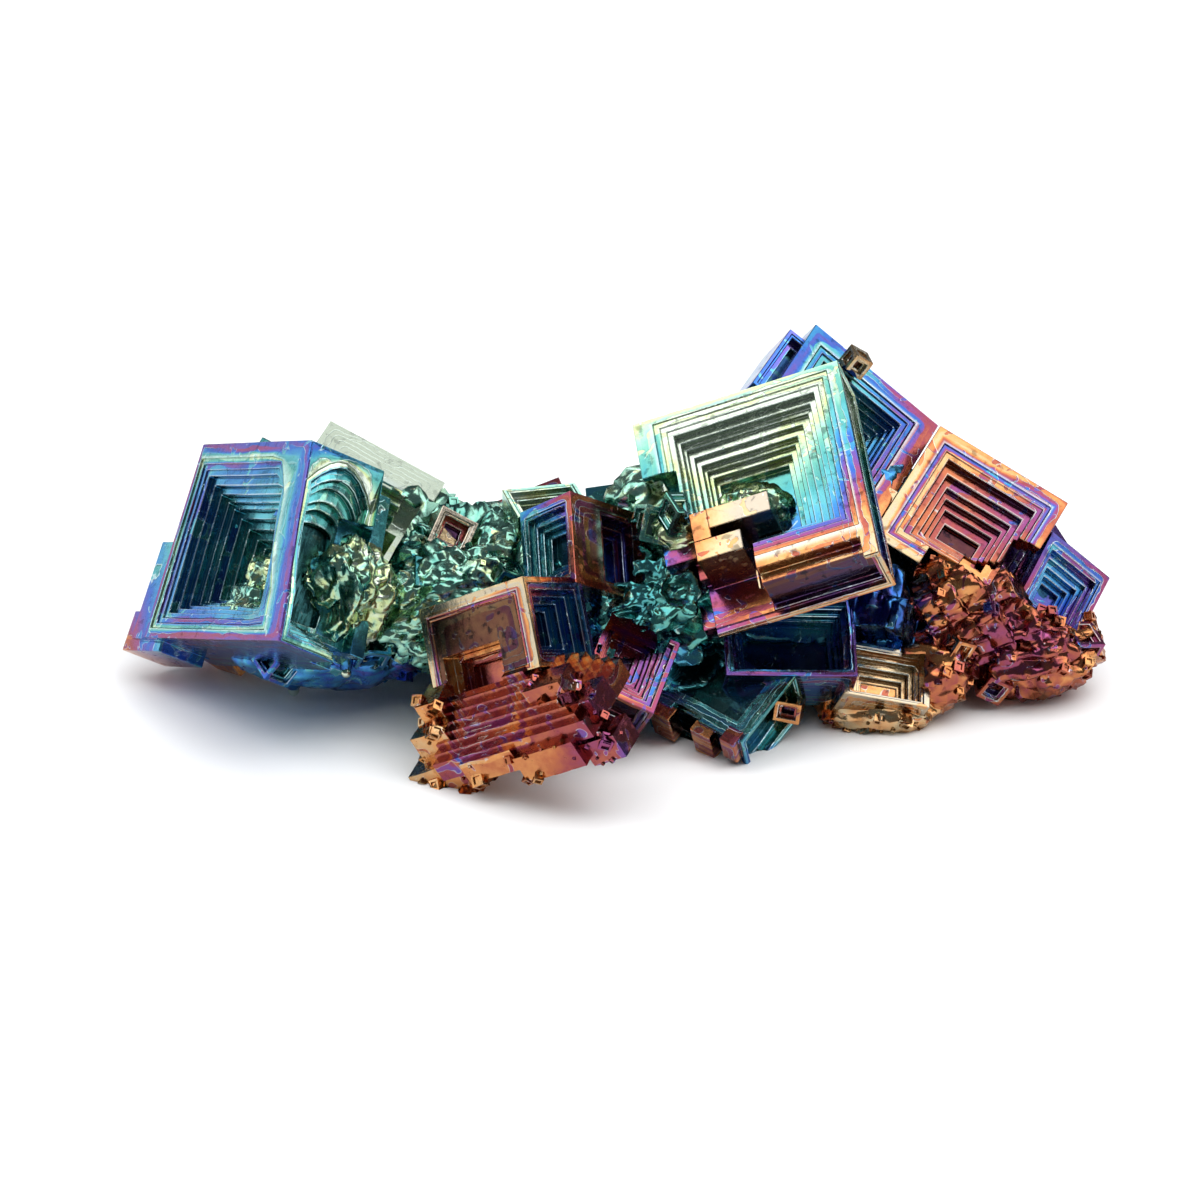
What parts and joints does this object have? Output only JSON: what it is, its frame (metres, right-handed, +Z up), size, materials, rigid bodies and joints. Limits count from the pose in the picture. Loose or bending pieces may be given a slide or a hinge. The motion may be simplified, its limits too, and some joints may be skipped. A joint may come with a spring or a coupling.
{
  "type": "bismuth hopper crystal cluster",
  "caption": "Iridescent bismuth specimen: stepped, hollow-faced square crystals grown together into one metal cluster that rests on its own low corners.",
  "frame": {"origin": "middle of the cluster's outline seen from above, on the ground plane", "axes": "+Z up from the surface it rests on, +X along its length towards the taller end, -Y the side with the widest hollow faces"},
  "size_m": [0.0718, 0.0392, 0.0252],
  "materials": {
    "bismuth": "bismuth metal under a thin iridescent oxide film, silvery gold through magenta and blue to teal green"
  },
  "bodies": {
    "root": {"bismuth_cluster": "bismuth"}
  },
  "joints": []
}
